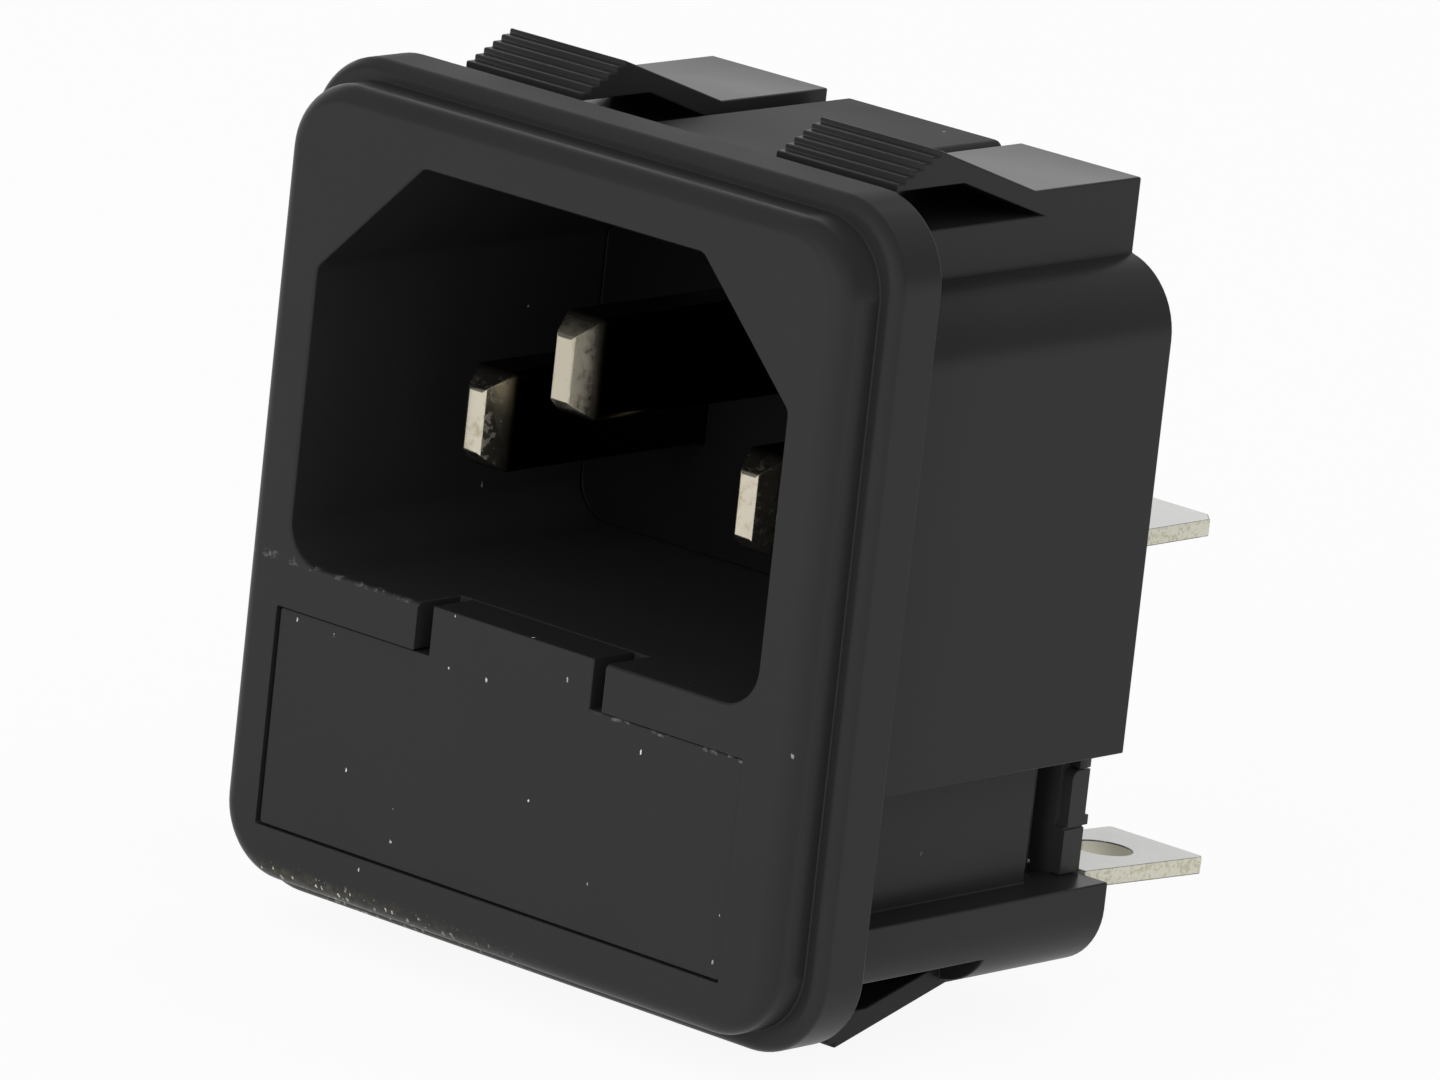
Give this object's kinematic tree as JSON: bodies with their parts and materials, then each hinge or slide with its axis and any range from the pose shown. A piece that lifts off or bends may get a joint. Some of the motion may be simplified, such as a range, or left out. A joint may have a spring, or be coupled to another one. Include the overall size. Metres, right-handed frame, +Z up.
{
  "type": "panel power inlet",
  "caption": "Black snap-in mains power inlet with recessed flat pins, a pull-out fuse drawer below them, springy snap wings and push-on tabs at the back.",
  "frame": {"origin": "middle of the panel face: the plane of the flange's rear face, at the middle of the flange's outline", "axes": "+X to the right seen from the front, +Y back through the panel, +Z up with the earth pin uppermost"},
  "size_m": [0.03, 0.0297, 0.0349],
  "materials": {
    "housing": "satin black moulded",
    "rear_plate": "satin black moulded",
    "fuse_drawer": "satin black moulded",
    "pins": "nickel plated",
    "clips": "tin plated, sheared edges bare",
    "fuse_caps": "nickel plated",
    "fuse_glass": "clear",
    "fuse_wire": "tinned"
  },
  "bodies": {
    "inlet": {"housing": "housing", "rear_plate": "rear_plate", "line_pin": "pins", "neutral_pin": "pins", "earth_pin": "pins", "left_fuse_clip": "clips", "right_fuse_clip": "clips"},
    "drawer": {"fuse_drawer": "fuse_drawer", "active_fuse_tube": "fuse_glass", "active_fuse_wire": "fuse_wire", "active_fuse_left_cap": "fuse_caps", "active_fuse_right_cap": "fuse_caps", "spare_fuse_tube": "fuse_glass", "spare_fuse_wire": "fuse_wire", "spare_fuse_left_cap": "fuse_caps", "spare_fuse_right_cap": "fuse_caps"}
  },
  "joints": [
    {"name": "drawer_slide", "type": "slide", "parent": "inlet", "child": "drawer", "axis": [0, -1, 0], "range_m": [0, 0.018]}
  ]
}
